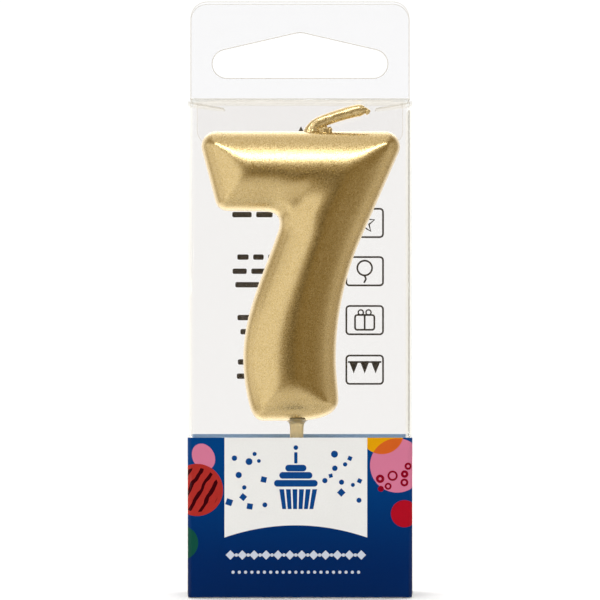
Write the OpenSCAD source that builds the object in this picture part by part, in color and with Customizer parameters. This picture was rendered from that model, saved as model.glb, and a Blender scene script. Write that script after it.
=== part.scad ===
// Number seven birthday candle on a pick, standing in a clear folded carton with a hang header.
// Millimetres. X to the right, +Y to the back, +Z up. Origin: bottom centre of the carton.

/* [Carton] */
// Outer width of the carton
carton_w = 34; // [33:0.5:44]
// Outer depth of the carton
carton_d = 18; // [17:0.5:26]
// Outer height of the carton, without its header
carton_h = 75.6; // [75:0.2:90]
// Thickness of the clear sheet
sheet_t = 0.3; // [0.2:0.05:0.4]
// Height of the hang header above the carton
header_h = 15.8; // [14:0.2:24]
// Corner radius of the hang header
header_r = 2.6; // [1:0.2:5]
// Depth of the closing tucks
tuck_l = 6; // [4:0.5:7]
// Reach of the dust flaps over the opening
dust_l = 5.2; // [3:0.2:5.6]
// Angle at which the upper dust flaps droop
dust_droop = 8; // [0:1:12]

/* [Hang hole] */
// Overall width of the delta hole
hole_w = 27.2; // [20:0.2:28]
// Overall height of the delta hole
hole_h = 7; // [5.5:0.1:8]
// Radius of the hole's round ends
hole_end_r = 2.2; // [1.5:0.1:2.4]
// Height of the hole's lower edge above the carton
hole_z = 3.9; // [3:0.1:5]

/* [Candle] */
// Height of the wax number
number_h = 44.4; // [40:0.2:44.6]
// Greatest thickness of the wax number
number_t = 10.6; // [8:0.2:12]
// Height of the wax number's base above the ground
number_z = 26.5; // [26:0.1:27]
// Radius of the pick
pick_r = 1; // [0.8:0.05:1.3]
// Length of the pick that is pushed into the wax
pick_in = 8; // [5:0.5:12]
// Radius of the wick
wick_r = 0.85; // [0.6:0.05:0.9]

/* [Card insert] */
// Height of the insert's platform
insert_h = 18; // [12:0.5:20]
// Thickness of the card
card_t = 0.5; // [0.3:0.1:0.8]

/* [Hidden] */

// Running gap between sheets that slide past each other
gap = 0.2;
// Gap between a tuck and the back panel, which the tuck swings into as it leaves
tuck_gap = 0.45;
// Air between the lid's sides and the side panels' outer faces
lid_side_gap = 0.35;
// Gap at a crease between two sheets of one blank
crease_gap = 0.05;
// Distance that the seam flap stops short of the carton's ends and of the front panel
seam_trim = 1.2;
seam_front_gap = 2.6;
// Gap between the header's second ply and the lid below it
ply_gap = 0.4;
// Clearance round the pick in the card insert
pick_gap = 0.1;
// Clearance between the insert and the walls round it
insert_gap = 0.3;
// Height of the pick's point above the ground, and the point's length
pick_z = 0.7;
point_l = 3;
// Sideways place of the pick
pick_x = -0.5;

wall_x = carton_w / 2 - sheet_t;
wall_y = carton_d / 2 - sheet_t;
// Top edges of the side panels, under the lid
side_top = carton_h - sheet_t - gap;
side_bottom = sheet_t + gap;
tuck_y = wall_y - tuck_gap - sheet_t;

clear_col = [0.86, 0.93, 0.97, 0.4];
gold = [0.72, 0.59, 0.33];

// ---- curves ----

// Cubic curve through a and d with the handles b and c, without its last point
function curve(a, b, c, d, n) = [for (i = [0:n - 1]) let (t = i / n, u = 1 - t)
    u * u * u * a + 3 * u * u * t * b + 3 * u * t * t * c + t * t * t * d];

// Arc of radius r that rounds the corner b between a and c
function rounded(a, b, c, r, n) =
    let (p = (a - b) / norm(a - b), q = (c - b) / norm(c - b),
         half = acos(p * q) / 2, centre = b + (p + q) / norm(p + q) * r / sin(half),
         first = b + p * r / tan(half), last = b + q * r / tan(half),
         a0 = atan2((first - centre).y, (first - centre).x),
         a1 = atan2((last - centre).y, (last - centre).x),
         turn = (a1 - a0 + 540) % 360 - 180)
    [for (i = [0:n]) centre + r * [cos(a0 + turn * i / n), sin(a0 + turn * i / n)]];

// Nearest point to p on the polyline path
function nearest(p, path) =
    let (feet = [for (i = [0:len(path) - 2])
             let (d = path[i + 1] - path[i], t = (p - path[i]) * d / (d * d))
             path[i] + d * min(1, max(0, t))],
         far = [for (f = feet) norm(f - p)])
    feet[search(min(far), far)[0]];

// ---- wax number ----

// Corners of the number's bar, from its upper left clockwise
bar_tl = [-15.8, 44.4];
bar_tr = [16.6, 44.4];
bar_end = [9.4, 28.1];
bar_bl = [-12.6, 32.2];

// Outline of the seven, clockwise, for a number 44.4 high
seven = concat(
    rounded(bar_bl, bar_tl, bar_tr, 1.5, 5),
    [for (x = [-11:4:9]) [x, 44.4]],
    rounded(bar_tl, bar_tr, bar_end, 2.35, 6),
    [for (t = [0.1:0.2:0.9]) [15.2, 41] * (1 - t) + bar_end * t],
    curve(bar_end, [6.75, 22.1], [5.5, 15.5], [5.5, 9.5], 9),
    curve([5.5, 9.5], [5.5, 7], [5.9, 5], [5.9, 3], 3),
    curve([5.9, 3], [5.6, 0.9], [3, 0], [-1, 0], 6),
    [[-1, 0], [-3.3, 0]],
    curve([-5.6, 0], [-6.9, 0], [-7.5, 1.2], [-7.9, 2.9], 5),
    curve([-7.9, 2.9], [-8.3, 4.6], [-8.7, 7], [-8.7, 9.3], 3),
    curve([-8.7, 9.3], [-8.75, 16.2], [-6.1, 21.2], [-3.5, 28.7], 9),
    curve([-3.5, 28.7], [-2.5, 31.2], [-3.6, 32.1], [-5.6, 32.1], 6),
    [[-5.6, 32.1], [-8, 32.1], [-10, 32.15]],
    rounded([-5.6, 32.1], bar_bl, bar_tl, 1.9, 5),
    [for (t = [0.15:0.2:0.95]) [-13, 34] * (1 - t) + [-15.3, 42.4] * t]);

// Middle line of the strokes: along the bar, then down the stem
spine = concat(
    [for (i = [0:15]) [-9.4, 38.3] + [15.3, -0.1] * i / 16],
    curve([5.9, 38.2], [3.2, 28.5], [-1.5, 19], [-1.5, 6.8], 28),
    [[-1.5, 6.8]]);

// Half thickness at a fraction t of the way from the rim to the middle line
rim_share = 0.68;
rim_width = 0.42;
function swell(t) = number_t / 2 * (rim_share * sqrt(1 - pow(1 - min(t / rim_width, 1), 2))
                                    + (1 - rim_share) * sin(90 * t));

// Rings of the front face, from near the middle line out to the rim, then of the back face
ring_steps = [0.85, 0.66, 0.48, 0.3, 0.16, 0.07, 0.02];
rings = concat([for (t = ring_steps) [t, -1]], [[0, 0]],
               [for (i = [len(ring_steps) - 1:-1:0]) [ring_steps[i], 1]]);

// Index of the middle line's corner nearest to p
function nearest_corner(p) =
    let (far = [for (c = spine) norm(c - p)]) search(min(far), far)[0];

// Triangles from a ring of points, the first numbered ring, in to the middle line, whose first
// corner is numbered line. meets gives the corner that each ring point belongs to.
function inner_faces(ring, line, meets) =
    let (n = len(meets))
    [for (i = [0:n - 1])
        let (j = (i + 1) % n, a = meets[i], b = meets[j], step = b > a ? 1 : -1)
        each concat([[ring + i, ring + j, line + b]],
                    [if (a != b) for (k = [b:-step:a + step]) [ring + i, line + k, line + k - step]])];

module wax_seven() {
    k = number_h / 44.4;
    n = len(seven);
    feet = [for (p = seven) nearest(p, spine)];
    meets = [for (f = feet) nearest_corner(f)];
    ring_points = [for (r = rings) for (i = [0:n - 1])
        let (q = (seven[i] + (feet[i] - seven[i]) * r[0]) * k)
        [q.x, r[1] * swell(r[0]), number_z + q.y]];
    ridges = [for (face = [-1, 1]) for (c = spine)
        [c.x * k, face * number_t / 2, number_z + c.y * k]];
    sides = [for (j = [0:len(rings) - 2]) for (i = [0:n - 1])
        let (a = j * n + i, b = j * n + (i + 1) % n) each [[a, b, b + n], [a, b + n, a + n]]];
    front = [for (f = inner_faces(0, len(ring_points), meets)) [f[2], f[1], f[0]]];
    back = inner_faces((len(rings) - 1) * n, len(ring_points) + len(spine), meets);
    color(gold) polyhedron(concat(ring_points, ridges), concat(front, sides, back), convexity = 10);
}

// ---- wick ----

// Route of the wick's centre, from inside the wax to its tip, measured from the number's top
wick_route = [[1.9, -2.4], [1.7, -1], [1.7, 0], [2.2, 0.8], [3.4, 1.5], [5.2, 2.15],
              [7.1, 2.65], [8.9, 3.05], [10, 3.25]];
// Thickness along the route: a bead of lacquer at the foot, then the bare wick
wick_swell = [1, 1.35, 1.45, 1.2, 1, 1, 1, 1, 0.9];
wick_sides = 10;

module wick() {
    m = len(wick_route);
    top = number_z + number_h;
    points = [for (i = [0:m - 1])
        let (d = wick_route[min(i + 1, m - 1)] - wick_route[max(i - 1, 0)],
             across = [-d.y, d.x] / norm(d))
        for (s = [0:wick_sides - 1])
            let (a = 360 * s / wick_sides, r = wick_r * wick_swell[i],
                 c = wick_route[i] + across * r * cos(a))
            [c.x, r * sin(a), top + c.y]];
    sides = [for (i = [0:m - 2]) for (s = [0:wick_sides - 1])
        let (a = i * wick_sides + s, b = i * wick_sides + (s + 1) % wick_sides)
        [a, b, b + wick_sides, a + wick_sides]];
    foot = [[for (s = [wick_sides - 1:-1:0]) s]];
    tip = [[for (s = [0:wick_sides - 1]) (m - 1) * wick_sides + s]];
    color(gold) polyhedron(points, concat(foot, sides, tip), convexity = 4);
}

// ---- pick ----

module pick() {
    color([0.84, 0.76, 0.56]) translate([pick_x, 0, pick_z]) {
        cylinder(h = point_l, r1 = pick_r * 0.35, r2 = pick_r, $fn = 48);
        translate([0, 0, point_l])
            cylinder(h = number_z + pick_in - pick_z - point_l, r = pick_r, $fn = 48);
    }
}

// ---- carton walls ----

// A flat sheet from one corner to the other
module sheet(low, high) {
    color(clear_col) translate(low) cube(high - low);
}

module front_panel() {
    sheet([-carton_w / 2, -carton_d / 2, 0], [carton_w / 2, -wall_y, carton_h]);
}

module back_panel() {
    sheet([-carton_w / 2, wall_y, side_bottom], [carton_w / 2, carton_d / 2, carton_h]);
}

module left_panel() {
    sheet([-carton_w / 2, -wall_y, side_bottom], [-wall_x, wall_y, side_top]);
}

module right_panel() {
    sheet([wall_x, -wall_y, side_bottom], [carton_w / 2, wall_y, side_top]);
}

module seam_flap() {
    sheet([wall_x - sheet_t, -wall_y + seam_front_gap, side_bottom + seam_trim],
          [wall_x, wall_y, side_top - seam_trim]);
}

// ---- hang header ----

// Delta hole: two round ends and a low peak between them
module delta_hole() {
    end_x = hole_w / 2 - hole_end_r;
    peak_r = 3;
    hull() {
        for (s = [-1, 1]) translate([s * end_x, hole_end_r]) circle(hole_end_r, $fn = 24);
        translate([0, hole_h - peak_r]) circle(peak_r, $fn = 32);
    }
}

// Header outline, standing on the line y = 0
module header_outline(height) {
    w = carton_w / 2;
    difference() {
        union() {
            translate([-w, 0]) square([carton_w, height - header_r]);
            translate([-w + header_r, 0]) square([carton_w - 2 * header_r, height]);
            for (s = [-1, 1]) translate([s * (w - header_r), height - header_r])
                circle(header_r, $fn = 48);
        }
        translate([0, hole_z]) delta_hole();
    }
}

module hang_header() {
    color(clear_col) translate([0, carton_d / 2, carton_h]) rotate([90, 0, 0])
        linear_extrude(sheet_t) header_outline(header_h);
}

module header_ply() {
    color(clear_col) translate([0, wall_y, carton_h + ply_gap]) rotate([90, 0, 0])
        linear_extrude(sheet_t) translate([0, -ply_gap]) difference() {
            header_outline(header_h - ply_gap);
            translate([-carton_w, 0]) square([2 * carton_w, ply_gap]);
        }
}

// ---- closures ----

// Lid that closes the carton's end; its outer face is at z = 0 and its crease at y = -wall_y
module lid() {
    color(clear_col) translate([-carton_w / 2 + lid_side_gap, -wall_y + crease_gap, -sheet_t])
        cube([carton_w - 2 * lid_side_gap, tuck_y + sheet_t + wall_y - crease_gap, sheet_t]);
}

// Tuck that hangs from the lid's rear edge, with rounded lower corners
module tuck() {
    w = wall_x - sheet_t - 2 * gap;
    r = 2;
    color(clear_col) translate([0, tuck_y + sheet_t, -sheet_t - crease_gap]) rotate([90, 0, 0])
        linear_extrude(sheet_t) union() {
            translate([-w, -tuck_l + r]) square([2 * w, tuck_l - r]);
            translate([-w + r, -tuck_l]) square([2 * (w - r), tuck_l]);
            for (s = [-1, 1]) translate([s * (w - r), -tuck_l + r]) circle(r, $fn = 48);
        }
}

// Dust flap that reaches from its crease at x = 0 towards +X, with its outer face at z = 0
module dust_flap() {
    front = -wall_y + 0.8;
    back = tuck_y - 1.6;
    round_r = 1;
    color(clear_col) translate([0, 0, -sheet_t]) linear_extrude(sheet_t) polygon(concat(
        [[crease_gap, front], [crease_gap, back], [dust_l * 0.4, back]],
        rounded([dust_l * 0.4, back], [dust_l, back - 1.4], [dust_l, front + 5], round_r, 6),
        rounded([dust_l, back - 1.4], [dust_l, front + dust_l], [crease_gap, front],
                round_r, 6)));
}

module top_lid() { translate([0, 0, carton_h]) lid(); }
module top_tuck() { translate([0, 0, carton_h]) tuck(); }
module top_dust_left() {
    translate([-wall_x, 0, side_top]) rotate([0, dust_droop, 0]) dust_flap();
}
module top_dust_right() { mirror([1, 0, 0]) top_dust_left(); }

module bottom_lid() { mirror([0, 0, 1]) lid(); }
module bottom_tuck() { mirror([0, 0, 1]) tuck(); }
module bottom_dust_left() {
    translate([-wall_x, 0, side_bottom]) mirror([0, 0, 1]) dust_flap();
}
module bottom_dust_right() { mirror([1, 0, 0]) bottom_dust_left(); }

// ---- card insert ----

module card_insert() {
    x = wall_x - sheet_t - insert_gap;
    y = tuck_y - insert_gap;
    foot = side_bottom + sheet_t + insert_gap;
    color("white") {
        difference() {
            translate([-x, -y, insert_h - card_t]) cube([2 * x, 2 * y, card_t]);
            translate([pick_x, 0, insert_h - 2 * card_t])
                cylinder(h = 3 * card_t, r = pick_r + pick_gap, $fn = 48);
        }
        for (s = [-x, x - card_t]) translate([s, -y, foot])
            cube([card_t, 2 * y, insert_h - card_t - foot]);
    }
}

front_panel();
back_panel();
left_panel();
right_panel();
seam_flap();
hang_header();
header_ply();
top_lid();
top_tuck();
top_dust_left();
top_dust_right();
bottom_lid();
bottom_tuck();
bottom_dust_left();
bottom_dust_right();
card_insert();
wax_seven();
wick();
pick();
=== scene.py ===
"""Number seven candle in its clear hang-tab carton: the looks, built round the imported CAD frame.

Lengths are in millimetres until new_object turns them into metres, except where a line says so.
"""
import math
import random

import bmesh
import bpy
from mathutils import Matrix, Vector
from mathutils.geometry import delaunay_2d_cdt, tessellate_polygon


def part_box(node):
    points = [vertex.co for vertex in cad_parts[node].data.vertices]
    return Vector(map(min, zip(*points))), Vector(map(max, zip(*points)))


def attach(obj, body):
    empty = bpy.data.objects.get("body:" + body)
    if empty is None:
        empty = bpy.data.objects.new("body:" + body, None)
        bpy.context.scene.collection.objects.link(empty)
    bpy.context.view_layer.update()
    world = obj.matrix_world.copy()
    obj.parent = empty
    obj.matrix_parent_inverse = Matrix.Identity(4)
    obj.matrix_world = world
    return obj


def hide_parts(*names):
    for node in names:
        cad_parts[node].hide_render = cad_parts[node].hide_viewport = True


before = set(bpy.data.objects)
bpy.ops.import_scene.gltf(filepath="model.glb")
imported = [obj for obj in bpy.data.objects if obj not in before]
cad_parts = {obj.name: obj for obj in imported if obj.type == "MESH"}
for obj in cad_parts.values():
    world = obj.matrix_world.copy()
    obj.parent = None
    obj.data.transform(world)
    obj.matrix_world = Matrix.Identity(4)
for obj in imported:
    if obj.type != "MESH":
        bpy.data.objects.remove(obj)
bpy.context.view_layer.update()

MM = 0.001

# ---------------------------------------------------------------- sizes taken from the frame

carton_low, carton_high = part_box("front_panel")
HALF_W = carton_high.x / MM
HALF_D = -carton_low.y / MM
CARTON_H = carton_high.z / MM
SHEET = (carton_high.y - carton_low.y) / MM
SIDE_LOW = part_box("left_panel")[0].z / MM
SIDE_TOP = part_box("left_panel")[1].z / MM
number_low, number_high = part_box("wax_seven")
NUMBER_Z = number_low.z / MM
NUMBER_H = (number_high.z - number_low.z) / MM
NUMBER_T = (number_high.y - number_low.y) / MM
pick_low, pick_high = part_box("pick")
insert_low, insert_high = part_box("card_insert")

CORNER_R = 0.55        # fold radius of the carton's upright creases
BAND_TOP = 24.2        # height of the printed band
LABEL_X = -0.63        # centre of the white label, a little left of the carton's centre
INK_GAP = 0.012        # air between the sheet and the ink layer
INK_T = 0.02           # thickness of the ink layer

# ---------------------------------------------------------------- small mesh helpers


def new_object(name, verts, faces, materials=(), smooth=False):
    """A mesh object from points in millimetres."""
    mesh = bpy.data.meshes.new(name)
    mesh.from_pydata([Vector(v) * MM for v in verts], [], faces)
    mesh.validate()
    for material in materials:
        mesh.materials.append(material)
    if smooth:
        mesh.shade_smooth()
    obj = bpy.data.objects.new(name, mesh)
    bpy.context.scene.collection.objects.link(obj)
    return obj


def orient(obj):
    """Turns every face of a closed mesh outwards."""
    bm = bmesh.new()
    bm.from_mesh(obj.data)
    bmesh.ops.remove_doubles(bm, verts=bm.verts, dist=1e-8)
    bmesh.ops.recalc_face_normals(bm, faces=bm.faces)
    bm.to_mesh(obj.data)
    bm.free()
    return obj


def smooth_slanted(obj):
    """Smooth shading on the faces that belong to a fold, flat shading on the rest."""
    along_an_axis = 0.9995
    for polygon in obj.data.polygons:
        polygon.use_smooth = max(map(abs, polygon.normal)) < along_an_axis
    return obj


def plates(name, shapes, y_front, y_back, materials):
    """Flat plates between two depths. A shape is a list of loops of (x, z): outline, then holes."""
    verts, faces, slots = [], [], []
    for loops, slot in shapes:
        flat = [p for loop in loops for p in loop]
        base = len(verts)
        n = len(flat)
        verts += [(x, y_front, z) for x, z in flat] + [(x, y_back, z) for x, z in flat]
        tris = tessellate_polygon([[Vector((x, z, 0)) for x, z in loop] for loop in loops])
        for a, b, c in tris:
            faces += [(base + a, base + b, base + c), (base + n + c, base + n + b, base + n + a)]
        start = 0
        for loop in loops:
            for i in range(len(loop)):
                a, b = base + start + i, base + start + (i + 1) % len(loop)
                faces.append((a, b, b + n, a + n))
            start += len(loop)
        slots += [slot] * (len(tris) * 2 + n)
    obj = new_object(name, verts, faces, materials)
    for polygon, slot in zip(obj.data.polygons, slots):
        polygon.material_index = slot
    return orient(obj)


def arc(cx, cz, r, a0, a1, n):
    """Points on an arc, in degrees, both ends included."""
    return [(cx + r * math.cos(math.radians(a0 + (a1 - a0) * i / n)),
             cz + r * math.sin(math.radians(a0 + (a1 - a0) * i / n))) for i in range(n + 1)]


def disc(cx, cz, r, n=36):
    return arc(cx, cz, r, 0, 360 * (n - 1) / n, n - 1)


def rounded_box(x0, z0, x1, z1, r, n=6):
    return (arc(x1 - r, z0 + r, r, -90, 0, n) + arc(x1 - r, z1 - r, r, 0, 90, n)
            + arc(x0 + r, z1 - r, r, 90, 180, n) + arc(x0 + r, z0 + r, r, 180, 270, n))


def stroke(points, width, closed=False):
    """Loops of a line of even width along points: one loop if open, outline and hole if closed."""
    n = len(points)
    left, right = [], []
    for i, (x, z) in enumerate(points):
        before = points[i - 1] if closed or i else points[i]
        after = points[(i + 1) % n] if closed or i < n - 1 else points[i]
        direction = Vector((after[0] - before[0], after[1] - before[1])).normalized()
        side = Vector((-direction.y, direction.x)) * width / 2
        left.append((x + side.x, z + side.y))
        right.append((x - side.x, z - side.y))
    return [right, left] if closed else [left + right[::-1]]


# ---------------------------------------------------------------- material helpers


class Graph:
    """The node tree of a new material, or of a given world, with short calls for its nodes."""

    def __init__(self, name, world=None):
        self.owner = world or bpy.data.materials.new(name)
        self.owner.use_nodes = True
        self.tree = self.owner.node_tree
        self.tree.nodes.clear()
        kind = "World" if world else "Material"
        self.output = self.tree.nodes.new("ShaderNodeOutput" + kind)

    def feed(self, socket, value):
        if isinstance(value, bpy.types.NodeSocket):
            self.tree.links.new(value, socket)
        else:
            socket.default_value = value

    def node(self, kind, inputs=None, **settings):
        node = self.tree.nodes.new("ShaderNode" + kind)
        for key, value in settings.items():
            setattr(node, key, value)
        for key, value in (inputs or {}).items():
            self.feed(node.inputs[key], value)
        return node

    def math(self, operation, a, b=0.0, c=0.0):
        return self.node("Math", {0: a, 1: b, 2: c}, operation=operation).outputs[0]

    def vector(self, operation, a, b=(0, 0, 0)):
        node = self.node("VectorMath", {0: a, 1: b}, operation=operation)
        return node.outputs["Value" if operation in ("DISTANCE", "DOT_PRODUCT") else 0]

    def scaled(self, vector, factor):
        return self.node("VectorMath", {0: vector, "Scale": factor}, operation="SCALE").outputs[0]

    def mix(self, share, a, b):
        node = self.node("Mix", data_type="RGBA")
        self.feed(node.inputs["Factor"], share)
        self.feed(node.inputs[6], a)
        self.feed(node.inputs[7], b)
        return node.outputs[2]

    def place(self):
        """Place on the object, in millimetres."""
        return self.scaled(self.node("TexCoord").outputs["Object"], 1 / MM)

    def noise(self, place, scale, detail=2.0, roughness=0.5):
        return self.node("TexNoise", {"Vector": place, "Scale": scale, "Detail": detail,
                                      "Roughness": roughness}).outputs["Fac"]

    def ramp(self, value, low, high, out_low=0.0, out_high=1.0):
        """An even S-shaped change from out_low to out_high, held outside low to high."""
        return self.node("MapRange", {0: value, 1: low, 2: high, 3: out_low, 4: out_high},
                         interpolation_type="SMOOTHSTEP").outputs[0]

    def bump(self, height, strength, distance, normal=None):
        node = self.node("Bump", {"Height": height, "Strength": strength, "Distance": distance})
        if normal is not None:
            self.feed(node.inputs["Normal"], normal)
        return node.outputs[0]

    def principled(self, **values):
        shader = self.node("BsdfPrincipled")
        for key, value in values.items():
            self.feed(shader.inputs[key.replace("_", " ")], value)
        return shader.outputs[0]

    def finish(self, shader):
        self.feed(self.output.inputs["Surface"], shader)
        return self.owner


def rgb(r, g, b):
    """Linear colour from 8-bit display values."""
    def linear(v):
        v /= 255
        return v / 12.92 if v <= 0.04045 else ((v + 0.055) / 1.055) ** 2.4
    return (linear(r), linear(g), linear(b), 1.0)


# ---------------------------------------------------------------- materials


def clear_sheet(name, tint, mirror_least):
    """Clear film: mirrors more the flatter it is seen, passes the rest, with faint ripples."""
    fine_share, edge_darkening, mirror_rise = 0.03, 0.94, 0.75
    g = Graph(name)
    place = g.place()
    ripple = g.noise(place, 0.09, 1.0)
    fine = g.noise(place, 0.9, 2.0)
    normal = g.bump(g.math("MULTIPLY_ADD", fine, fine_share, ripple), 0.35, 0.0004)
    facing = g.node("LayerWeight", {"Blend": 0.5, "Normal": normal}).outputs["Facing"]
    flat_seen = g.math("POWER", facing, 5.0)
    edge_tone = tuple(edge_darkening * c for c in tint[:3]) + (1,)
    clear = g.node("BsdfTransparent", {"Color": g.mix(flat_seen, tint, edge_tone)}).outputs[0]
    mirror = g.node("BsdfGlossy", {"Roughness": 0.045, "Normal": normal,
                                   "Color": (0.90, 0.95, 1, 1)}).outputs[0]
    share = g.math("MULTIPLY_ADD", flat_seen, mirror_rise, mirror_least)
    return g.finish(g.node("MixShader", {0: share, 1: clear, 2: mirror}).outputs[0])


def cut_edge(name, dark, light):
    """Cut edge of the film: greyer than its faces, with the faint chatter of the knife."""
    g = Graph(name)
    chatter = g.noise(g.place(), 5.0, 2.0)
    tone = g.mix(chatter, (dark, dark * 0.985, dark * 0.955, 1),
                 (light, light * 0.99, light * 0.965, 1))
    clear = g.node("BsdfTransparent", {"Color": tone}).outputs[0]
    mirror = g.node("BsdfGlossy", {"Roughness": 0.3, "Color": (1, 1, 1, 1)}).outputs[0]
    mirror_share = 0.10
    return g.finish(g.node("MixShader", {0: mirror_share, 1: clear, 2: mirror}).outputs[0])


def gold_lacquer(name, metal, flake, dark, light, rough, dent_scale, dent):
    """Metallic gold lacquer: fine flakes that differ in tone and gloss, under a clear coat."""
    g = Graph(name)
    place = g.place()
    flakes = g.node("TexVoronoi", {"Vector": place, "Scale": flake}, feature="F1")
    sparkle = g.node("SeparateColor", {0: flakes.outputs["Color"]}).outputs[0]
    grain = g.noise(place, 13.0, 1.0)
    tone = g.math("MULTIPLY_ADD", sparkle, 0.55, g.math("MULTIPLY", grain, 0.45))
    normal = g.bump(grain, 0.11, 0.000014)
    normal = g.bump(g.noise(place, dent_scale, 0.0), dent, 0.00012, normal)
    return g.finish(g.principled(Base_Color=g.mix(g.ramp(tone, 0.2, 0.8), dark, light),
                                 Metallic=metal, Roughness=g.ramp(sparkle, 0.0, 1.0, *rough),
                                 Normal=normal, Coat_Weight=0.85, Coat_Roughness=0.2,
                                 Coat_IOR=1.5))


def pick_plastic(name):
    """Pale plastic stick with the number's lacquer run thinly over it."""
    g = Graph(name)
    run = g.noise(g.place(), 0.8, 3.0)
    colour = g.mix(run, (0.80, 0.62, 0.30, 1), (0.95, 0.82, 0.52, 1))
    return g.finish(g.principled(Base_Color=colour, Transmission_Weight=0.55, IOR=1.3,
                                 Roughness=0.3, Specular_IOR_Level=0.6,
                                 Normal=g.bump(run, 0.15, 0.00005)))


def card_stock(name):
    """Uncoated cream card with a fine fibre."""
    g = Graph(name)
    fibre = g.noise(g.place(), 6.0, 4.0, 0.7)
    colour = g.mix(fibre, rgb(240, 232, 214), rgb(248, 242, 228))
    return g.finish(g.principled(Base_Color=colour, Roughness=0.85,
                                 Normal=g.bump(fibre, 0.3, 0.00005)))


def underbase(name):
    """The inner face of the printed band: a white ground with the blue showing through."""
    g = Graph(name)
    mottle = g.noise(g.place(), 1.6, 3.0)
    colour = g.mix(mottle, rgb(154, 193, 240), rgb(168, 205, 246))
    return g.finish(g.principled(Base_Color=colour, Roughness=0.4))


def plain_ink(name, colour, lighter):
    """Ink of one colour with the slight mottle of a print."""
    g = Graph(name)
    mottle = g.noise(g.place(), 3.0, 3.0)
    return g.finish(g.principled(Base_Color=g.mix(mottle, colour, lighter), Roughness=0.3,
                                 Specular_IOR_Level=0.1))


def band_art(name):
    """Blue band with a white label and party dots, laid out round the carton in millimetres."""
    g = Graph(name)
    uv = g.node("UVMap", uv_map="unrolled").outputs[0]
    axes = g.node("SeparateXYZ", {0: uv})
    across, up = axes.outputs[0], axes.outputs[1]
    grain = g.noise(uv, 4.0, 3.0)

    def inside(shape):
        return g.math("LESS_THAN", shape, 1.0)

    def circle(cx, cz, r):
        """Distance from the centre, with 1 on the circle."""
        return g.math("DIVIDE", g.vector("DISTANCE", uv, (cx, cz, 0)), r)

    def ellipse(cx, cz, rx, rz, turn):
        """The same for an ellipse that is turned by an angle in degrees."""
        moved = g.vector("SUBTRACT", uv, (cx, cz, 0))
        a = math.radians(turn)
        x = g.vector("DOT_PRODUCT", moved, (math.cos(a) / rx, math.sin(a) / rx, 0))
        z = g.vector("DOT_PRODUCT", moved, (-math.sin(a) / rz, math.cos(a) / rz, 0))
        return g.math("SQRT", g.math("ADD", g.math("MULTIPLY", x, x), g.math("MULTIPLY", z, z)))

    # The blue goes from darker at the band's foot to lighter at its top: a painted reflection, not
    # a tone of the print.
    colour = g.mix(g.ramp(up, 3.0, BAND_TOP), rgb(0, 34, 88), rgb(1, 62, 124))
    colour = g.mix(g.math("MULTIPLY", grain, 0.10), colour, rgb(4, 74, 140))

    pink, orange, green = rgb(210, 120, 149), rgb(172, 46, 40), rgb(16, 76, 62)
    yellow, red, maroon = rgb(224, 158, 10), rgb(172, 14, 34), rgb(58, 2, 10)

    def paint(base, mask, tone):
        return g.mix(mask, base, tone)

    # Left of the label: a pink dot, an orange one with wavy slanted stripes, and a green one
    colour = paint(colour, inside(ellipse(-14.6, 21.3, 1.65, 2.1, 28)), pink)
    striped_x, striped_z = -15.6, 16.3
    striped = inside(circle(striped_x, striped_z, 3.95))
    colour = paint(colour, striped, orange)
    half_pitch, half_stripe = 0.76, 0.27
    slant = g.vector("DOT_PRODUCT", g.vector("SUBTRACT", uv, (striped_x, striped_z, 0)),
                     (-0.87, 0.5, 0))
    wobble = g.math("MULTIPLY_ADD", g.noise(uv, 0.55, 1.0), 0.9, 0.1)
    wave = g.math("PINGPONG", g.math("ADD", slant, wobble), half_pitch)
    stripe = g.math("MULTIPLY", g.math("LESS_THAN", wave, half_stripe),
                    g.math("MULTIPLY", striped, inside(circle(striped_x, striped_z, 3.35))))
    colour = paint(colour, stripe, maroon)
    colour = paint(colour, inside(circle(-18.0, 8.3, 2.6)), green)
    # Right of the label: a yellow and a pink dot that overlap, rings on the pink one, a red dot
    yellow_dot = inside(circle(12.4, 25.0, 3.3))
    pink_dot = inside(circle(14.7, 20.0, 4.1))
    colour = paint(colour, yellow_dot, yellow)
    colour = paint(colour, pink_dot, pink)
    colour = paint(colour, g.math("MULTIPLY", yellow_dot, pink_dot), rgb(210, 96, 34))
    for cx, cz, r, hole in ((12.12, 17.98, 0.64, 0.35), (14.01, 18.44, 0.78, 0.62),
                            (15.83, 18.70, 0.57, 0.3), (16.36, 19.88, 0.55, 0.4),
                            (15.79, 17.42, 0.6, 0.45), (13.33, 16.85, 0.53, 0.45),
                            (12.23, 16.47, 0.45, 0.0)):
        ring = g.math("MULTIPLY", inside(circle(cx, cz, r)),
                      g.math("GREATER_THAN", circle(cx, cz, r), hole))
        colour = paint(colour, ring, rgb(136, 3, 30))
    colour = paint(colour, inside(circle(15.8, 12.7, 2.05)), red)
    # Dots on the sides and the back
    for cx, cz, r, tone in ((-30.0, 18.0, 3.0, yellow), (-38.0, 9.5, 3.6, pink),
                            (-46.0, 18.5, 3.2, orange), (27.0, 7.5, 2.6, orange),
                            (37.5, 17.0, 3.8, green), (46.5, 9.0, 3.0, pink),
                            (-26.0, 6.5, 1.6, red), (31.0, 20.0, 1.8, pink),
                            (-47.0, 5.5, 1.8, yellow), (50.0, 20.5, 1.5, red)):
        colour = paint(colour, inside(circle(cx, cz, r)), tone)
    # White label, open at the top, with an arched foot
    label_half_w, arch_z, arch_bend = 10.8, 10.94, 0.0158
    offset = g.math("SUBTRACT", across, LABEL_X)
    fall = g.math("MULTIPLY", g.math("MULTIPLY", offset, offset), arch_bend)
    label = g.math("MULTIPLY", g.math("LESS_THAN", g.math("ABSOLUTE", offset), label_half_w),
                   g.math("GREATER_THAN", up, g.math("SUBTRACT", arch_z, fall)))
    colour = paint(colour, label, g.mix(grain, rgb(234, 233, 229), rgb(242, 241, 238)))
    return g.finish(g.principled(Base_Color=colour, Roughness=0.22, Specular_IOR_Level=0.08,
                                 Normal=g.bump(grain, 0.05, 0.00002)))


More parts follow.
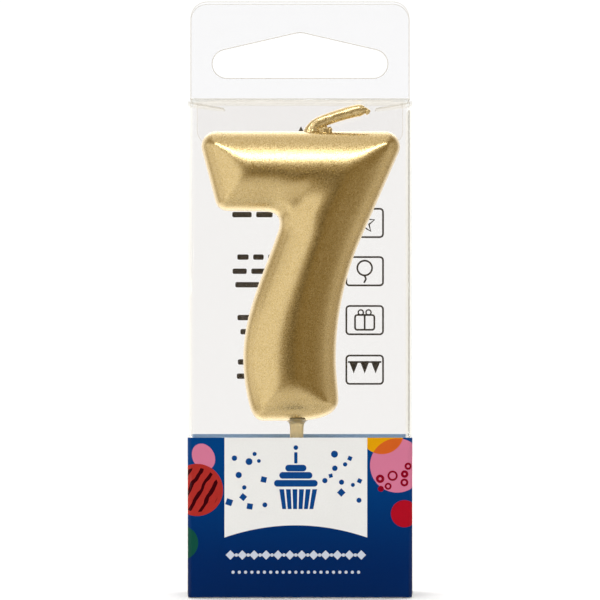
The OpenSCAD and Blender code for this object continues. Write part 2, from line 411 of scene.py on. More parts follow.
PET = clear_sheet("clear_film", (0.986, 0.983, 0.980, 1), 0.030)
FLAP_PET = clear_sheet("clear_film_single", (0.990, 0.987, 0.987, 1), 0.012)
HEADER_PET = clear_sheet("clear_film_header", (0.981, 0.981, 0.983, 1), 0.012)
CUT_EDGE = cut_edge("film_cut_edge", 0.76, 0.88)
CUT_EDGE_SOFT = cut_edge("film_cut_edge_soft", 0.86, 0.93)
CUT_EDGE_FAINT = cut_edge("film_cut_edge_faint", 0.94, 0.98)
GOLD = gold_lacquer("gold_lacquer", metal=1.0, flake=9.0, dark=(0.56, 0.435, 0.185, 1),
                    light=(0.725, 0.595, 0.33, 1), rough=(0.25, 0.33), dent_scale=0.22, dent=0.08)
GOLD_WICK = gold_lacquer("gold_lacquer_wick", metal=0.75, flake=9.0, dark=(0.60, 0.46, 0.20, 1),
                         light=(0.82, 0.68, 0.39, 1), rough=(0.24, 0.36), dent_scale=1.3, dent=0.9)
PICK = pick_plastic("pick_plastic")
CARD = card_stock("white_card")
UNDERBASE = underbase("print_underbase")
BAND = band_art("printed_band")
INK_WHITE = plain_ink("ink_white", rgb(196, 204, 218), rgb(212, 218, 228))
INK_BLUE = plain_ink("ink_blue", rgb(6, 58, 120), rgb(14, 74, 142))
INK_GREY = plain_ink("ink_grey", rgb(66, 62, 62), rgb(84, 80, 79))
INK_BAND = plain_ink("ink_band_blue", rgb(0, 40, 94), rgb(4, 50, 110))

# ---------------------------------------------------------------- clear carton


def half_perimeter(half_w, half_d, r, step=2.0):
    """Right half of a rounded rectangle, from the front's centre to the back's.

    Each point is x, y and the length so far.
    """
    points = [(0.0, -half_d)]

    def straight(to):
        x0, y0 = points[-1]
        n = max(1, round(math.dist((x0, y0), to) / step))
        points.extend((x0 + (to[0] - x0) * i / n, y0 + (to[1] - y0) * i / n)
                      for i in range(1, n + 1))

    straight((half_w - r, -half_d))
    points.extend(arc(half_w - r, -half_d + r, r, -90, 0, 8)[1:])
    straight((half_w, half_d - r))
    points.extend(arc(half_w - r, half_d - r, r, 0, 90, 8)[1:])
    straight((0.0, half_d))
    out, length = [], 0.0
    for i, (x, y) in enumerate(points):
        if i:
            length += math.dist(points[i - 1], (x, y))
        out.append((x, y, length))
    return out


def loop_of(half):
    """The whole loop from its right half: back centre, left side, front centre, right side."""
    return [(-x, y, -s) for x, y, s in half[::-1][:-1]] + half


def wall(name, offset_out, offset_in, low, high, materials, face_slots, unrolled=False):
    """Closed thin wall round the carton between two offsets from its outer face.

    face_slots gives the material of its outer face, its inner face and its rims.
    """
    def ring(offset):
        return loop_of(half_perimeter(HALF_W + offset, HALF_D + offset, CORNER_R + offset))

    outer, inner = ring(offset_out), ring(offset_in)
    n = len(outer)
    verts, faces, slots, uvs = [], [], [], []
    for points in (outer, inner):
        for x, y, s in points:
            verts += [(x, y, low(x, y)), (x, y, high(x, y))]
            uvs += [(s, low(x, y)), (s, high(x, y))]
    for i in range(n - 1):
        a, b = 2 * i, 2 * i + 2
        c, d = a + 2 * n, b + 2 * n
        faces += [(a, b, b + 1, a + 1), (c, c + 1, d + 1, d), (a, c, d, b),
                  (a + 1, b + 1, d + 1, c + 1)]
        slots += [face_slots[k] for k in (0, 1, 2, 2)]
    obj = new_object(name, verts, faces, materials)
    layer = obj.data.uv_layers.new(name="unrolled")
    for loop in obj.data.loops:
        layer.data[loop.index].uv = uvs[loop.vertex_index]
    for polygon, slot in zip(obj.data.polygons, slots):
        polygon.material_index = slot
    if not unrolled:
        orient(obj)
    smooth_slanted(obj)
    return obj


FOLD_R = 0.4       # fold radius where the lids turn off the front panel
NEAR = 0.02        # a point this close to a panel's face belongs to that panel


def sleeve_top(x, y):
    """Upper rim of the sleeve: lower at the front's fold and the sides, full height at the back."""
    if y < -HALF_D + NEAR:
        return CARTON_H - FOLD_R
    if y > HALF_D - SHEET - NEAR and abs(x) < HALF_W - CORNER_R:
        return CARTON_H
    return SIDE_TOP


def sleeve_low(x, y):
    """Lower rim of the sleeve, which stops at the fold on the front."""
    return FOLD_R if y < -HALF_D + SHEET + NEAR else SIDE_LOW


def front_folds():
    """Quarter-round folds along the front panel's upper and lower edges."""
    x = HALF_W - CORNER_R
    angles = [math.pi / 2 * i / 8 for i in range(9)]
    verts, faces = [], []
    for up, z in ((1, CARTON_H - FOLD_R), (-1, FOLD_R)):
        profile = [(-HALF_D + FOLD_R - r * math.cos(a), z + up * r * math.sin(a))
                   for r, order in ((FOLD_R, 1), (FOLD_R - SHEET, -1)) for a in angles[::order]]
        base, n = len(verts), len(profile)
        verts += [(-x, y, h) for y, h in profile] + [(x, y, h) for y, h in profile]
        faces += [tuple(base + i for i in range(n)), tuple(base + n + i for i in range(n))[::-1]]
        faces += [(base + i, base + (i + 1) % n, base + n + (i + 1) % n, base + n + i)
                  for i in range(n)]
    return smooth_slanted(orient(new_object("front_folds", verts, faces, [PET])))


sleeve = wall("clear_sleeve", 0.0, -SHEET, sleeve_low, sleeve_top, [PET, CUT_EDGE], (0, 0, 1))
folds = front_folds()
for piece in (sleeve, folds):
    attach(piece, "carton")
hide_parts("front_panel", "back_panel", "left_panel", "right_panel")

EDGE_BURR = 0.11   # width of the rounded edge that the die leaves on the film
BROAD_FACE = 0.9   # a face is one of the film's two broad ones when it is this parallel to them


def film_piece(node, body, film, edge):
    """A flap with the CAD node's shape: clear faces, and cut edges of their own material."""
    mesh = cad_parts[node].data.copy()
    mesh.name = node + "_film"
    mesh.materials.clear()
    mesh.materials.append(film)
    mesh.materials.append(edge)
    broad = max(mesh.polygons, key=lambda polygon: polygon.area).normal.copy()

    def is_broad(face):
        return abs(face.normal.dot(broad)) > BROAD_FACE

    bm = bmesh.new()
    bm.from_mesh(mesh)
    bmesh.ops.remove_doubles(bm, verts=bm.verts, dist=1e-7)
    bmesh.ops.dissolve_limit(bm, angle_limit=0.001, verts=bm.verts, edges=bm.edges)
    rims = [rim for rim in bm.edges if len(rim.link_faces) == 2
            and is_broad(rim.link_faces[0]) != is_broad(rim.link_faces[1])]
    bmesh.ops.bevel(bm, geom=rims, offset=EDGE_BURR * MM, segments=1, affect="EDGES",
                    clamp_overlap=True)
    bm.to_mesh(mesh)
    bm.free()
    for polygon in mesh.polygons:
        polygon.material_index = 0 if is_broad(polygon) else 1
        polygon.use_smooth = False
    piece = bpy.data.objects.new(node + "_film", mesh)
    bpy.context.scene.collection.objects.link(piece)
    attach(piece, body)
    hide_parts(node)


film_piece("seam_flap", "carton", FLAP_PET, CUT_EDGE)
for node in ("hang_header", "header_ply"):
    film_piece(node, "carton", HEADER_PET, CUT_EDGE_SOFT)
for node in ("top_lid", "top_tuck", "top_dust_left", "top_dust_right",
             "bottom_lid", "bottom_tuck", "bottom_dust_left", "bottom_dust_right"):
    film_piece(node, node, FLAP_PET, CUT_EDGE_FAINT if "tuck" in node else CUT_EDGE_SOFT)

# ---------------------------------------------------------------- print

BAND_FOOT = 0.05                                     # the band's lower edge on the front
INK_FRONT = -HALF_D - INK_GAP - INK_T - 0.004        # just in front of the band

band = wall("printed_band", INK_GAP + INK_T, INK_GAP,
            lambda x, y: BAND_FOOT if y < -HALF_D + SHEET else SIDE_LOW,
            lambda x, y: BAND_TOP, [BAND, UNDERBASE], (0, 1, 1), unrolled=True)
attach(band, "carton")


def square(cx, cz, r, turn=0):
    """A square of half diagonal r, with its first corner at an angle in degrees."""
    return arc(cx, cz, r, turn, turn + 270, 3)


def cupcake():
    """Outlines of a cupcake with one candle: cup slats, three rounds of icing, candle, flame."""
    cup_top, cup_foot, slat_w, taper = 16.4, 13.4, 0.72, 0.82
    out = []
    for i in range(6):
        x = LABEL_X - 2.5 + i
        out.append([(x, cup_top), (x + slat_w, cup_top),
                    (LABEL_X + (x + slat_w - LABEL_X) * taper, cup_foot),
                    (LABEL_X + (x - LABEL_X) * taper, cup_foot)])
    for z, w in ((17.3, 3.3), (18.5, 2.5), (19.6, 1.6)):
        out.append(rounded_box(LABEL_X - w, z - 0.5, LABEL_X + w, z + 0.5, 0.49))
    out.append(rounded_box(LABEL_X - 0.25, 20.3, LABEL_X + 0.25, 22.0, 0.12))
    out.append(disc(LABEL_X, 22.7, 0.35))
    return out


def confetti():
    """Outlines of dots and squares strewn on both sides of the cupcake, clear of one another."""
    scatter = random.Random(7)
    tries = 60
    out, placed = [], []
    for side in (-1, 1):
        for i in range(11):
            r = scatter.uniform(0.28, 0.56)
            turn = scatter.uniform(0, 90)
            for _ in range(tries):
                x = LABEL_X + side * (4.6 + 0.52 * i + scatter.uniform(-0.3, 0.3))
                z = scatter.uniform(13.4, 22.2)
                if all(math.hypot(x - px, z - pz) > 1.35 * (r + pr) + 0.2
                       for px, pz, pr in placed):
                    break
            placed.append((x, z, r))
            out.append(square(x, z, r * 1.4, turn) if i % 3 == 1 else disc(x, z, r, 24))
    return out


def ornaments():
    """Outlines of a row of squares and dots, and of a dotted line below it."""
    row_z, line_z, pitch = 6.45, 3.85, 1.8
    out = []
    for i in range(12):
        x = LABEL_X - 9.9 + i * pitch
        out.append(square(x, row_z, 0.72))
        if i < 11:
            out.append(disc(x + pitch / 2, row_z, 0.26, 20))
    return out + [disc(LABEL_X - 9.5 + i * 0.95, line_z, 0.24, 20) for i in range(21)]


def label_art():
    """A cupcake with a candle between confetti, in blue, and white ornaments under the label."""
    blue, white = 0, 1
    shapes = [([outline], blue) for outline in cupcake() + confetti()]
    shapes += [([outline], white) for outline in ornaments()]
    return plates("label_art", shapes, INK_FRONT - 0.012, INK_FRONT, [INK_BLUE, INK_WHITE])


art = label_art()
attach(art, "carton")


def word_bars():
    """Loops of rows of plain bars, where a pack has lines of words."""
    left, right, last_start, half_h, gap = -11.0, 0.5, -3.5, 0.42, 0.7
    lengths = random.Random(3)
    out = []
    for z in (58.3, 51.7, 49.5, 47.4, 42.3, 40.1, 35.4, 33.2):
        x = left + lengths.uniform(0.0, 2.0)
        while x < last_start:
            word = min(lengths.uniform(1.6, 4.2), right - x)
            out.append([rounded_box(x, z - half_h, x + word, z + half_h, 0.25, 4)])
            x += word + gap
    return out


def party_symbol(kind, c, z, w):
    """Loops of one symbol centred on (c, z), drawn with lines of width w."""
    if kind == "star":
        tips = []
        for i in range(10):
            a, r = math.pi * i / 5, 1.6 if i % 2 == 0 else 0.7
            tips.append((c + r * math.sin(a), z + r * math.cos(a)))
        return [stroke(tips, w, True)]
    if kind == "balloon":
        return [stroke(disc(c, z + 0.5, 1.15, 24), w, True),
                stroke([(c, z - 0.7), (c + 0.2, z - 1.2), (c - 0.1, z - 1.8)], w)]
    if kind == "gift":
        bows = [stroke(disc(c + side * 0.6, z + 1.2, 0.4, 16), w * 0.8, True) for side in (-1, 1)]
        return [stroke(rounded_box(c - 1.5, z - 1.5, c + 1.5, z + 0.8, 0.35, 4), w, True),
                stroke([(c, z - 1.4), (c, z + 0.8)], w)] + bows
    pitch, half_w, top = 1.7, 0.65, z + 1.1
    flags = [[[(c + i * pitch - half_w, top), (c + i * pitch + half_w, top),
               (c + i * pitch, top - 1.7)]] for i in (-1, 0, 1)]
    return flags + [stroke([(c - 2.6, z + 1.2), (c + 2.6, z + 1.2)], w)]


def back_marks():
    """Plain bars and framed party symbols printed on the back panel."""
    small_triangle = [[(-0.45, 70.9), (0.75, 70.9), (0.15, 72.0)]]
    loops = word_bars() + [small_triangle]
    line_w, frame_x0, frame_x1, frame_half_h = 0.28, 7.2, 12.9, 2.2
    for z, kind in ((57.0, "star"), (49.5, "balloon"), (41.9, "gift"), (34.2, "flags")):
        loops.append(stroke(rounded_box(frame_x0, z - frame_half_h, frame_x1, z + frame_half_h,
                                        0.5), line_w, True))
        loops += party_symbol(kind, (frame_x0 + frame_x1) / 2, z, line_w)
    return plates("back_marks", [(shape, 0) for shape in loops], HALF_D + INK_GAP,
                  HALF_D + INK_GAP + INK_T, [INK_GREY])


marks = back_marks()
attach(marks, "carton")


def bottom_print():
    """Blue print under the bottom lid: a plate built upright, then laid flat under the lid."""
    lid_low, lid_high = (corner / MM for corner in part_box("bottom_lid"))
    margin, gap = 0.1, 0.01
    outline = rounded_box(lid_low.x + margin, lid_low.y + margin, lid_high.x - margin,
                          lid_high.y - margin, 0.3)
    print_plate = plates("bottom_print", [([outline], 0)], 0.0, INK_T, [INK_BAND])
    for vertex in print_plate.data.vertices:
        x, y, z = vertex.co
        vertex.co = (x, z, -gap * MM - y)
    return orient(print_plate)


foot_ink = bottom_print()
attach(foot_ink, "bottom_lid")

# ---------------------------------------------------------------- wax number


def bezier(a, b, c, d, n):
    """Cubic curve from a to d, without its last point."""
    out = []
    for i in range(n):
        t = i / n
        u = 1 - t
        out.append(tuple(u ** 3 * p + 3 * u * u * t * q + 3 * u * t * t * r + t ** 3 * s
                         for p, q, r, s in zip(a, b, c, d)))
    return out


def rounded_corner(a, b, c, r, n):
    """Arc that rounds corner b between a and c."""
    a, b, c = Vector(a), Vector(b), Vector(c)
    p, q = (a - b).normalized(), (c - b).normalized()
    half = p.angle(q) / 2
    centre = b + (p + q).normalized() * r / math.sin(half)
    first, last = b + p * r / math.tan(half), b + q * r / math.tan(half)
    a0 = math.atan2(first.y - centre.y, first.x - centre.x)
    a1 = math.atan2(last.y - centre.y, last.x - centre.x)
    turn = (a1 - a0 + 3 * math.pi) % (2 * math.pi) - math.pi
    return [(centre.x + r * math.cos(a0 + turn * i / n), centre.y + r * math.sin(a0 + turn * i / n))
            for i in range(n + 1)]


# The inner corner, where the bar's underside meets the stem's left edge. Heights are from the foot.
UNDERSIDE_Z = 32.1
STEM_TOP = (-3.5, 28.7)          # where the stem's left edge begins to turn into the underside
INTO_STEM = (0.937, -0.35)       # unit vector from that edge into the stem


def even_steps(points, spacing):
    """A closed outline's points again, set evenly along it."""
    lengths = [0.0]
    for i in range(len(points)):
        lengths.append(lengths[-1] + math.dist(points[i], points[(i + 1) % len(points)]))
    n = round(lengths[-1] / spacing)
    out, j = [], 0
    for i in range(n):
        at = lengths[-1] * i / n
        while lengths[j + 1] < at:
            j += 1
        t = (at - lengths[j]) / (lengths[j + 1] - lengths[j])
        a, b = points[j], points[(j + 1) % len(points)]
        out.append((a[0] + (b[0] - a[0]) * t, a[1] + (b[1] - a[1]) * t))
    return out


def seven_outline(spacing=0.3):
    """Outline of the seven: the CAD solid's, with a rounder top left corner."""
    top_left, top_right, right_end = (-15.8, 44.4), (16.6, 44.4), (9.4, 28.1)
    low_left, underside = (-12.6, 32.2), (-5.6, UNDERSIDE_Z)
    points = (rounded_corner(low_left, top_left, top_right, 2.3, 20)
              + rounded_corner(top_left, top_right, right_end, 2.35, 20)
              + bezier(right_end, (6.75, 22.1), (5.5, 15.5), (5.5, 9.5), 40)
              + bezier((5.5, 9.5), (5.5, 7), (5.9, 5), (5.9, 3), 14)
              + bezier((5.9, 3), (5.6, 0.9), (3, 0), (-1, 0), 24) + [(-1, 0)]
              + bezier((-5.6, 0), (-6.9, 0), (-7.5, 1.2), (-7.9, 2.9), 16)
              + bezier((-7.9, 2.9), (-8.3, 4.6), (-8.7, 7), (-8.7, 9.3), 14)
              + bezier((-8.7, 9.3), (-8.75, 16.2), (-6.1, 21.2), STEM_TOP, 40)
              + bezier(STEM_TOP, (-2.5, 31.2), (-3.6, UNDERSIDE_Z), underside, 16)
              + [underside] + rounded_corner(underside, low_left, top_left, 1.9, 14))
    return even_steps(points, spacing)


def distance_to(outline):
    """A function for the distance from a point inside to the outline."""
    segments = [(a, (b[0] - a[0], b[1] - a[1])) for a, b in
                zip(outline, outline[1:] + outline[:1])]

    def measure(x, z):
        best = math.inf
        for (ax, az), (dx, dz) in segments:
            px, pz = x - ax, z - az
            t = min(1.0, max(0.0, (px * dx + pz * dz) / (dx * dx + dz * dz)))
            ex, ez = px - t * dx, pz - t * dz
            best = min(best, ex * ex + ez * ez)
        return math.sqrt(best)

    return measure


def is_inside(x, z, outline):
    """Whether a point is inside, by counting the edges to its right."""
    hit = False
    for (ax, az), (bx, bz) in zip(outline, outline[1:] + outline[:1]):
        if (az > z) != (bz > z) and x < ax + (z - az) * (bx - ax) / (bz - az):
            hit = not hit
    return hit


# Half thickness over the distance from the rim: a steep edge, an even bevel, a soft ridge.
PROFILE = ((0.0, 0.0), (0.04, 0.62), (0.14, 1.2), (0.3, 1.75), (0.52, 2.22), (0.8, 2.65),
           (1.12, 3.02), (1.6, 3.46), (2.2, 3.88), (3.0, 4.31), (3.8, 4.66), (4.6, 4.94),
           (5.3, 5.13), (6.0, 5.25), (6.8, 5.3), (9.9, 5.33))
RIM_STEPS = tuple(d for d, _ in PROFILE[1:7])     # rings of points that follow the rim
GRID_STEP = 0.36        # spacing of the points inside the rings
GRID_CLEAR = 0.28       # gap between the last ring and the first of those points
RIDGE_PASSES = 18       # smoothing passes that soften the ridges where two bevels meet
PASS_SHARE = 0.55       # how far one pass moves a point towards its neighbours' mean
EASE_IN = 1.5           # width over which the smoothing sets in
MITRE_REACH = 9.0       # the inner corner's mitre is drawn this far from the rim
MITRE_FILLET = 1.8      # radius of the fillet that joins the two edges' offsets
MITRE_SHARE = 0.85      # how sharply the mitre's crease is drawn, 0 to 1
MITRE_LEAST = 0.5       # least share of the true distance that the mitre may leave
MITRE_START, MITRE_RISE = 1.9, 2.1    # distance where it sets in, and width of its rise


def rise(d):
    """Half thickness of the number at a distance d from its rim."""
    for (d0, h0), (d1, h1) in zip(PROFILE, PROFILE[1:]):
        if d <= d1:
            return h0 + (h1 - h0) * (d - d0) / (d1 - d0)
    return PROFILE[-1][1]


def inward_normals(outline):
    """Unit normals at the outline's points, turned towards its inside."""
    normals = []
    for i in range(len(outline)):
        (ax, az), (bx, bz) = outline[i - 1], outline[(i + 1) % len(outline)]
        length = math.hypot(bx - ax, bz - az)
        normals.append(((bz - az) / length, -(bx - ax) / length))
    (x, z), (nx, nz), probe = outline[0], normals[0], 0.1
    sign = 1 if is_inside(x + probe * nx, z + probe * nz, outline) else -1
    return [(sign * nx, sign * nz) for nx, nz in normals]


def mitred(distance):
    """The distance from the rim, changed at the inner corner: the offsets of the two edges are
    joined there by a fillet that grows more slowly than the true distance does."""
    lean = INTO_STEM[1]     # cosine between the two edges' normals, as the underside's points up

    def measure(x, z):
        d = distance(x, z)
        over_bar = z - UNDERSIDE_Z
        from_stem = (x - STEM_TOP[0]) * INTO_STEM[0] + (z - STEM_TOP[1]) * INTO_STEM[1]
        if d > MITRE_REACH or over_bar < lean * from_stem or from_stem < lean * over_bar:
            return d
        total = (over_bar + from_stem) * (1 - lean)
        spread = (over_bar ** 2 + from_stem ** 2 - 2 * lean * over_bar * from_stem
                  - MITRE_FILLET ** 2 * (1 - lean ** 2))
        inner = total ** 2 - 2 * (1 - lean) * spread
        if inner <= 0:
            return d
        joined = MITRE_FILLET + (total - math.sqrt(inner)) / (2 * (1 - lean))
        share = MITRE_SHARE * min(1.0, max(0.0, (d - MITRE_START) / MITRE_RISE))
        return d + share * (min(d, max(joined, MITRE_LEAST * d)) - d)

    return measure


def wax_number():
    """Front and back cushions of the seven, over rings along the rim and an even grid inside."""
    outline = seven_outline()
    n = len(outline)
    euclid = distance_to(outline)
    measure = mitred(euclid)
    normals = inward_normals(outline)
    points = list(outline)
    for step in RIM_STEPS:
        points += [(x + step * nx, z + step * nz) for (x, z), (nx, nz) in zip(outline, normals)]
    clear = RIM_STEPS[-1] + GRID_CLEAR
    row_pitch = GRID_STEP * 0.866       # rows of an even triangular grid
    columns = 46
    for row in range(int(NUMBER_H / row_pitch) + 2):
        z = row * row_pitch
        shift = GRID_STEP / 2 if row % 2 else 0.0
        for column in range(-columns, columns + 1):
            x = column * GRID_STEP + shift
            if is_inside(x, z, outline) and measure(x, z) > clear:
                points.append((x, z))
    edges = [(i, (i + 1) % n) for i in range(n)]
    flat, _, tris, *_ = delaunay_2d_cdt([Vector(p) for p in points], edges, [], 1, 1e-7)
    depth = []
    for i, p in enumerate(flat):
        ring = i // n
        d = measure(p.x, p.y) if ring > len(RIM_STEPS) else (0.0, *RIM_STEPS)[ring]
        depth.append(rise(d))
    near = [[] for _ in flat]
    for tri in tris:
        for a, b in ((0, 1), (1, 2), (2, 0)):
            near[tri[a]].append(tri[b])
            near[tri[b]].append(tri[a])
    free = range(n * (len(RIM_STEPS) + 1), len(flat))
    settled = clear + GRID_STEP    # nearer the rim the grid is uneven, and keeps its exact depth
    ease = {i: min(1.0, max(0.0, (euclid(*flat[i]) - settled) / EASE_IN)) for i in free}
    for _ in range(RIDGE_PASSES):
        means = {i: sum(depth[j] for j in near[i]) / len(near[i]) for i in free}
        for i, mean in means.items():
            depth[i] += PASS_SHARE * ease[i] * (mean - depth[i])
    scale = NUMBER_T / 2 / max(depth)
    verts = [(p.x, -depth[i] * scale, NUMBER_Z + p.y) for i, p in enumerate(flat)]
    back = {i: (i if i < n else len(flat) + i - n) for i in range(len(flat))}
    verts += [(p.x, depth[i] * scale, NUMBER_Z + p.y) for i, p in enumerate(flat) if i >= n]
    faces = [tuple(tri) for tri in tris] + [tuple(back[i] for i in reversed(tri)) for tri in tris]
    return orient(new_object("gold_seven", verts, faces, [GOLD], smooth=True))


seven = wax_number()
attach(seven, "candle")
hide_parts("wax_seven")

# ---------------------------------------------------------------- wick and pick


def smooth_path(points, per_span=6):
    """Catmull-Rom curve through points."""
    out = []
    ends = [points[0]] + list(points) + [points[-1]]
    for i in range(1, len(ends) - 2):
        p0, p1, p2, p3 = (Vector(ends[i + k]) for k in (-1, 0, 1, 2))
        for j in range(per_span):
            t = j / per_span
            out.append(0.5 * ((2 * p1) + (p2 - p0) * t + (2 * p0 - 5 * p1 + 4 * p2 - p3) * t * t
                              + (3 * p1 - p0 - 3 * p2 + p3) * t ** 3))
    out.append(Vector(points[-1]))
    return out


TIP_BULGE = 0.12       # how far a tube's end cap stands out


def tube(name, path, radius, material, sides=24):
    """Closed tube along a path, with its radius from a function of the ring and the angle."""
    verts, faces = [], []
    up = Vector((0, 1, 0))
    for i, p in enumerate(path):
        along = (path[min(i + 1, len(path) - 1)] - path[max(i - 1, 0)]).normalized()
        side = along.cross(up).normalized()
        lift = side.cross(along).normalized()
        for s in range(sides):
            a = 2 * math.pi * s / sides
            r = radius(i, a)
            verts.append(p + side * math.cos(a) * r + lift * math.sin(a) * r)
    for i in range(len(path) - 1):
        for s in range(sides):
            a, b = i * sides + s, i * sides + (s + 1) % sides
            faces.append((a, b, b + sides, a + sides))
    for row, next_in in ((0, 1), (len(path) - 1, len(path) - 2)):
        centre = len(verts)
        verts.append(path[row] + (path[row] - path[next_in]).normalized() * TIP_BULGE)
        faces += [(row * sides + s, row * sides + (s + 1) % sides, centre) for s in range(sides)]
    return orient(new_object(name, verts, faces, [material], smooth=True))


number_top = NUMBER_Z + NUMBER_H
wick_route = [(1.9, -2.4), (1.7, -1), (1.7, 0), (2.2, 0.8), (3.4, 1.5), (5.2, 2.2), (7.1, 2.8),
              (8.9, 3.2), (9.9, 3.3)]
wick_path = smooth_path([(x, 0.0, number_top + z) for x, z in wick_route], 8)


def wick_radius(i, a):
    """Radius with soft grooves and lumps, thicker near the foot and narrower at the tip."""
    share = i / (len(wick_path) - 1)
    grooves = 0.035 * math.cos(3 * a + i * 0.05) + 0.014 * math.cos(7 * a - i * 0.04)
    lumps = 0.022 * math.sin(i * 0.21 + 2 * math.cos(a)) + 0.008 * math.sin(i * 0.5 + a)
    foot = 0.30 * math.exp(-((share - 0.2) / 0.08) ** 2)
    taper = 1 - 0.35 * max(0.0, (share - 0.9) / 0.1)
    return (0.86 + 0.09 * share + grooves + lumps + foot) * taper


def blob(centre, radii, bumps, seed):
    """Verts and faces of a small lumpy drop of lacquer."""
    shape = random.Random(seed)
    full_turn = 6.28
    phase = [shape.uniform(0, full_turn) for _ in range(4)]
    bm = bmesh.new()
    bmesh.ops.create_icosphere(bm, subdivisions=4, radius=1.0)
    for v in bm.verts:
        k = 1 + bumps * (math.sin(5 * v.co.x + phase[0]) + math.sin(6 * v.co.z + phase[1])
                         + math.sin(4 * v.co.y + phase[2]) * math.cos(7 * v.co.x + phase[3]))
        v.co = Vector((v.co.x * radii[0] * k + centre[0], v.co.y * radii[1] * k + centre[1],
                       v.co.z * radii[2] * k + centre[2]))
    verts = [tuple(v.co) for v in bm.verts]
    faces = [tuple(v.index for v in f.verts) for f in bm.faces]
    bm.free()
    return verts, faces


def add_blobs(obj, blobs):
    """Joins drops to an object, as separate closed shells."""
    bm = bmesh.new()
    bm.from_mesh(obj.data)
    for verts, faces in blobs:
        made = [bm.verts.new(Vector(v) * MM) for v in verts]
        for face in faces:
            bm.faces.new([made[i] for i in face]).smooth = True
    bm.to_mesh(obj.data)
    bm.free()


# Drops of lacquer, three at the wick's foot and two at its tip. Each line gives the centre, with
# its height above the number, the radii and how lumpy it is.
drops = [((3.75, -0.4, 0.1), (1.0, 0.9, 0.76), 0.07),
         ((4.5, -0.6, 0.15), (0.5, 0.55, 0.55), 0.08),
         ((1.95, -0.1, 0.1), (1.25, 1.0, 0.6), 0.07),
         ((10.3, -0.05, 3.05), (0.48, 0.5, 0.47), 0.07),
         ((9.6, -0.2, 3.35), (0.7, 0.62, 0.42), 0.06)]
wick = tube("wick_strand", wick_path, wick_radius, GOLD_WICK, 32)
add_blobs(wick, [blob((x, y, number_top + z), radii, bumps, seed)
                 for seed, ((x, y, z), radii, bumps) in enumerate(drops, 1)])
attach(wick, "candle")
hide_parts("wick")

pick_x = (pick_low.x + pick_high.x) / 2 / MM
PICK_R = (pick_high.x - pick_low.x) / 2 / MM
# Heights along the pick and its radius there over the CAD's: a blunt point, a shaft, a flare of wax
pick_rings = [(0.72, 0.3), (1.1, 0.42), (2.2, 0.72), (3.4, 0.92), (3.9, 1.0), (8.0, 1.0),
              (14.0, 1.0), (20.0, 1.0), (24.5, 1.0), (25.6, 1.02), (26.1, 1.12), (26.4, 1.35),
              (26.7, 1.8), (26.95, 2.3)]
pick_path = [Vector((pick_x, 0, z)) for z, _ in pick_rings]
pick = tube("pick_stick", pick_path,
            lambda i, a: PICK_R * pick_rings[i][1] * (1 + 0.03 * math.cos(6 * a)), PICK, 36)
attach(pick, "candle")
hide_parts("pick")

# ---------------------------------------------------------------- card insert


def folded_insert():
    """Card bent into a platform with two legs, with rounded folds and a hole for the pick."""
    card_t, fold_r, slack = 0.5, 1.0, 0.1
    x, top, foot = insert_high.x / MM, insert_high.z / MM, insert_low.z / MM
    half_y = insert_high.y / MM
    fold_z, inner_r = top - fold_r, fold_r - card_t
    outer = ([(-x, foot), (-x, fold_z)] + arc(-x + fold_r, fold_z, fold_r, 180, 90, 8)[1:]
             + arc(x - fold_r, fold_z, fold_r, 90, 0, 8) + [(x, foot)])
    inner = ([(x - card_t, foot), (x - card_t, fold_z)]
             + arc(x - fold_r, fold_z, inner_r, 0, 90, 8)[1:]
             + arc(-x + fold_r, fold_z, inner_r, 90, 180, 8) + [(-x + card_t, foot)])
    card = plates("card_stand", [([outer + inner], 0)], -half_y, half_y, [CARD])
    cutter = plates("cutter", [([disc(pick_x, 0, PICK_R + slack, 40)], 0)], top - 2, top + 1,
                    [CARD])
    for vertex in cutter.data.vertices:
        px, py, pz = vertex.co
        vertex.co = (px, pz, py)
    orient(cutter)
    cut = card.modifiers.new("hole", "BOOLEAN")
    cut.object = cutter
    cut.solver = "EXACT"
    bpy.context.view_layer.update()
    result = bpy.data.meshes.new_from_object(card.evaluated_get(
        bpy.context.evaluated_depsgraph_get()))
    card.modifiers.clear()
    card.data = result
    bpy.data.objects.remove(cutter)
    return card


insert = folded_insert()
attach(insert, "carton")
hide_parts("card_insert")

# The gold mirrors the studio, and none of the carton's print or card.
for piece in (band, insert, foot_ink, marks):
    piece.visible_glossy = False

# ---------------------------------------------------------------- stage, lights and camera

scene = bpy.context.scene
scene.view_settings.view_transform = "Standard"
scene.cycles.transparent_max_bounces = 40

FLOOR_HALF_W, FLOOR_FRONT, FLOOR_BACK, FLOOR_Z = 600, -80, 600, -0.1


def pale_floor():
    """A plain matt floor, just under the carton. Mirror rays pass it by."""
    corners = [(-FLOOR_HALF_W, FLOOR_FRONT, FLOOR_Z), (FLOOR_HALF_W, FLOOR_FRONT, FLOOR_Z),
               (FLOOR_HALF_W, FLOOR_BACK, FLOOR_Z), (-FLOOR_HALF_W, FLOOR_BACK, FLOOR_Z)]
    g = Graph("pale_floor")
    matt = g.finish(g.principled(Base_Color=(0.93, 0.93, 0.92, 1), Roughness=0.9))
    obj = new_object("floor", corners, [(0, 1, 2, 3)], [matt])
    obj.visible_glossy = False
    return obj


floor = pale_floor()


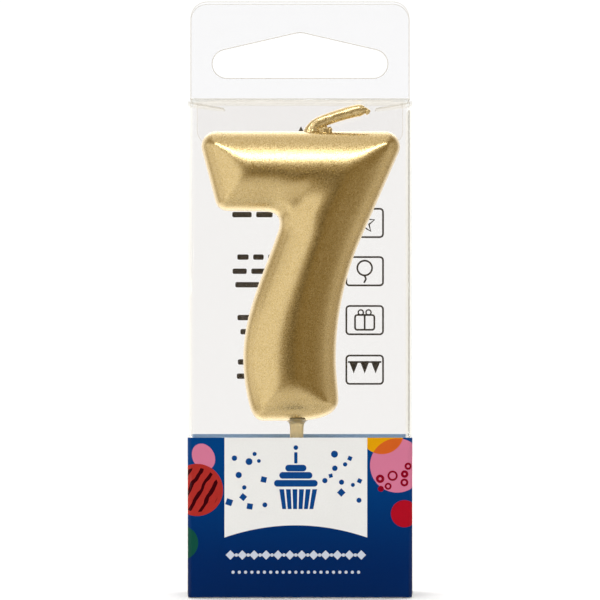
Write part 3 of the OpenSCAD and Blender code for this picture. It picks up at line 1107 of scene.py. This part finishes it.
def studio_world():
    """A pale studio whose brightness depends on direction. The camera itself sees plain white.

    x points right, y away from the camera and z up. Each ramp runs over one of them, or a sum.
    """
    world = bpy.data.worlds.new("studio")
    scene.world = world
    g = Graph("studio", world)
    x, y, z = g.node("SeparateXYZ", {0: g.node("TexCoord").outputs["Generated"]}).outputs
    right_delay, left_delay = -0.40, 0.22    # how much later the bright rear begins at each side
    rear = g.math("MULTIPLY_ADD", g.math("MAXIMUM", x, 0.0), right_delay, y)
    rear = g.math("MULTIPLY_ADD", g.math("MINIMUM", x, 0.0), left_delay, rear)
    level = g.ramp(rear, 0.05, 0.70, 0.0, 1.0)
    parts = [g.ramp(x, 0.0, -0.45, 0.0, 0.2),      # faint glow over the whole left
             g.ramp(x, -0.90, -0.97, 0.0, 0.70),   # far left, next to the side softbox
             g.ramp(x, 0.73, 1.0, 0.0, 0.42),      # far right
             g.ramp(z, 0.70, 0.97, 0.0, 0.68),     # overhead
             g.ramp(z, -0.26, -0.62, 0.0, 0.69),   # below
             g.ramp(g.math("MULTIPLY_ADD", z, 0.6, y), 1.0, 1.14, 0.0, 1.0)]   # high at the rear
    for part in parts:
        level = g.math("ADD", level, part)
    dim_at_camera = g.ramp(y, -0.996, -0.975, 0.45, 1.0)
    path = g.node("LightPath").outputs
    warm_room, plain_room = (0.31, 0.212, 0.075, 1), (0.14, 0.14, 0.14, 1)
    room = g.scaled(g.mix(path["Is Diffuse Ray"], warm_room, plain_room), dim_at_camera)
    light = g.vector("ADD", room, g.scaled((1, 1, 1), level))
    lit = g.node("Background", {"Color": light, "Strength": 1.0}).outputs[0]
    seen = g.node("Background", {"Color": (1, 1, 1, 1), "Strength": 1.05}).outputs[0]
    g.finish(g.node("MixShader", {0: path["Is Camera Ray"], 1: lit, 2: seen}).outputs[0])


studio_world()

TARGET = Vector((0, 0, 0.055))      # the point the lights are aimed at, m


def softbox(name, azimuth, elevation, distance, width, height, radiance):
    """Area light aimed at the object, in metres and degrees. Azimuth 0 is in front, and positive
    azimuths are to the right."""
    a, e = math.radians(azimuth), math.radians(elevation)
    light = bpy.data.lights.new(name, "AREA")
    light.shape = "RECTANGLE"
    light.size, light.size_y = width, height
    light.energy = radiance * math.pi * width * height
    obj = bpy.data.objects.new(name, light)
    scene.collection.objects.link(obj)
    away = Vector((math.sin(a) * math.cos(e), -math.cos(a) * math.cos(e), math.sin(e)))
    obj.location = TARGET + away * distance
    obj.rotation_euler = away.to_track_quat("Z", "Y").to_euler()
    obj.visible_camera = False
    return obj


softbox("key_above", azimuth=0, elevation=43.2, distance=0.95, width=1.0, height=0.135,
        radiance=10.5)
softbox("side_left", azimuth=-47, elevation=-2, distance=1.0, width=0.92, height=1.0,
        radiance=0.80)
floor_wash = softbox("floor_wash", azimuth=180, elevation=62, distance=0.8, width=1.6, height=0.8,
                     radiance=1.3)
floor_wash.visible_glossy = False

FRAME_W = 0.09078      # width that the view takes in at the carton's front face, m
CAMERA_AWAY = 0.667    # distance from the camera to the front face, m
CAMERA_Z = 0.04503     # height of the camera, which looks level, m
camera_data = bpy.data.cameras.new("camera")
camera_data.lens = camera_data.sensor_width * CAMERA_AWAY / FRAME_W
camera_data.clip_start = 0.01
camera = bpy.data.objects.new("camera", camera_data)
scene.collection.objects.link(camera)
camera.location = (0, -HALF_D * MM - CAMERA_AWAY, CAMERA_Z)
camera.rotation_euler = (math.pi / 2, 0, 0)
scene.camera = camera
